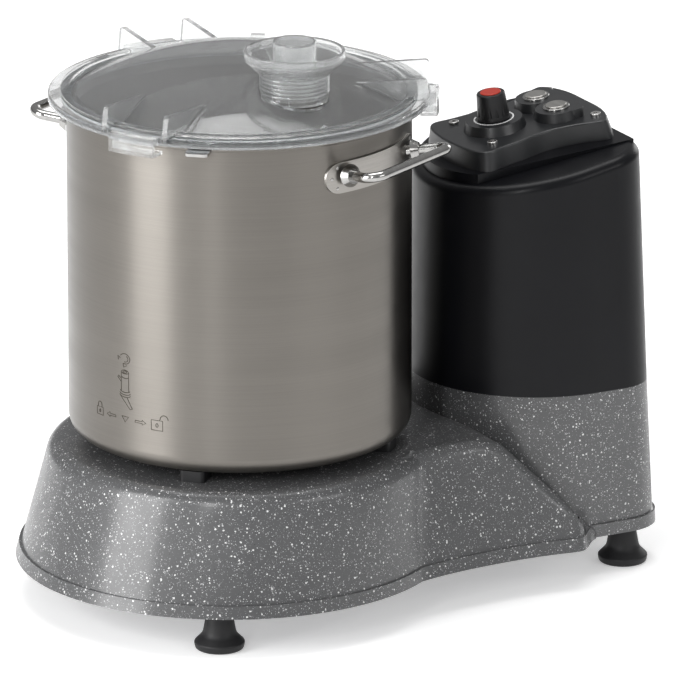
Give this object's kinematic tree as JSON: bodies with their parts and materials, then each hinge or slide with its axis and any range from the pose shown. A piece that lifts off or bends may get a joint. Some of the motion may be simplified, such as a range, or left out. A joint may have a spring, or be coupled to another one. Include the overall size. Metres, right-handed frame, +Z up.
{
  "type": "vegetable chopping machine",
  "caption": "Bowl cutter with a lift-off steel bowl, clear locking lid, S-shaped knife on a belt-driven spindle, and a motor column with knob and push buttons",
  "frame": {"origin": "middle of the footprint, on the surface that the feet stand on", "axes": "+X from the bowl towards the motor column, +Y towards the back, +Z up"},
  "size_m": [0.4526, 0.3032, 0.416],
  "materials": {
    "base_enamel": "glossy grey enamel with fine white speckles",
    "cover_black": "satin black moulding",
    "panel_dark": "dark grey satin moulding",
    "bowl_steel": "fine vertical and round brushing",
    "polished_steel": "polished stainless steel",
    "blade_steel": "ground stainless steel",
    "lid_clear": "clear polycarbonate",
    "seal_grey": "grey silicone",
    "foot_rubber": "black rubber",
    "knob_black": "black moulding",
    "knob_red": "red-orange insert",
    "cast_aluminium": "machined casting",
    "shaft_steel": "ground bar",
    "zinc_screw": "bright plated",
    "motor_paint": "dark grey motor paint",
    "winding_copper": "varnished copper wire",
    "lamination": "stacked steel sheet",
    "belt_rubber": "ribbed black belt",
    "inner_plastic": "dark switch plastic",
    "board_green": "green circuit board",
    "plate_zinc": "grey painted sheet"
  },
  "bodies": {
    "base": {"base_body": "base_enamel", "bottom_plate": "plate_zinc", "rubber_feet": "foot_rubber", "foot_screws": "zinc_screw", "bowl_supports": "foot_rubber", "bearing_housing": "cast_aluminium", "housing_screws": "zinc_screw", "spindle_bearings": "shaft_steel", "bearing_sleeve": "cast_aluminium", "shaft_seal": "foot_rubber", "motor_bracket": "cast_aluminium", "bracket_screws": "zinc_screw", "motor_housing": "motor_paint", "motor_bearings": "shaft_steel", "motor_stator": "lamination", "stator_windings": "winding_copper", "drive_belt": "belt_rubber", "motor_cover": "cover_black", "control_panel": "panel_dark", "panel_screws": "zinc_screw", "panel_pillars": "cast_aluminium", "control_board": "board_green", "button_bezels": "polished_steel", "switch_blocks": "inner_plastic", "speed_potentiometer": "inner_plastic", "cable_gland": "knob_black", "gland_nut": "knob_black"},
    "spindle": {"spindle_shaft": "shaft_steel", "driven_pulley": "cast_aluminium", "knife_hub": "blade_steel", "lower_blade": "blade_steel", "blade_spacer": "blade_steel", "upper_blade": "blade_steel", "knife_cap": "blade_steel"},
    "rotor": {"rotor_shaft": "shaft_steel", "rotor_core": "lamination", "drive_pulley": "cast_aluminium"},
    "bowl": {"bowl_shell": "bowl_steel", "bowl_tube": "bowl_steel", "handle_plates": "polished_steel", "bowl_handles": "polished_steel", "bowl_tabs": "polished_steel"},
    "lid_seal": {"lid_seal": "seal_grey"},
    "lid": {"lid": "lid_clear", "lid_clips": "lid_clear", "feed_funnel": "lid_clear"},
    "pusher": {"pusher": "lid_clear"},
    "speed_knob": {"speed_knob": "knob_black", "knob_cap": "knob_red"},
    "start_button": {"start_button": "polished_steel"},
    "stop_button": {"stop_button": "polished_steel"}
  },
  "joints": [
    {"name": "spindle_turn", "type": "hinge", "parent": "base", "child": "spindle", "pos_m": [-0.06734, 0, 0.12], "axis": [0, 0, 1], "continuous": true},
    {"name": "rotor_turn", "type": "hinge", "parent": "base", "child": "rotor", "pos_m": [0.15766, 0, 0.12], "axis": [0, 0, 1], "continuous": true},
    {"name": "bowl_turn", "type": "hinge", "parent": "base", "child": "bowl", "pos_m": [-0.06734, 0, 0.12], "axis": [0, 0, 1], "range_deg": [0, 20]},
    {"name": "lid_lift", "type": "slide", "parent": "bowl", "child": "lid_seal", "axis": [0, 0, 1], "range_m": [0, 0.12]},
    {"name": "lid_turn", "type": "hinge", "parent": "lid_seal", "child": "lid", "pos_m": [-0.06734, 0, 0.36], "axis": [0, 0, 1], "range_deg": [0, 20]},
    {"name": "pusher_lift", "type": "slide", "parent": "lid", "child": "pusher", "axis": [0, 0, 1], "range_m": [0, 0.045]},
    {"name": "knob_turn", "type": "hinge", "parent": "base", "child": "speed_knob", "pos_m": [0.13518, 0, 0.30881], "axis": [-0.1426, 0, 0.9898], "range_deg": [0, 270]},
    {"name": "start_press", "type": "slide", "parent": "base", "child": "start_button", "axis": [0.1426, 0, -0.9898], "range_m": [0, 0.002], "stiffness_N_per_m": 500, "springref_m": -0.002},
    {"name": "stop_press", "type": "slide", "parent": "base", "child": "stop_button", "axis": [0.1426, 0, -0.9898], "range_m": [0, 0.002], "stiffness_N_per_m": 500, "springref_m": -0.002}
  ],
  "couplings": [
    {"joint": "rotor_turn", "follows": "spindle_turn", "ratio": 2}
  ]
}
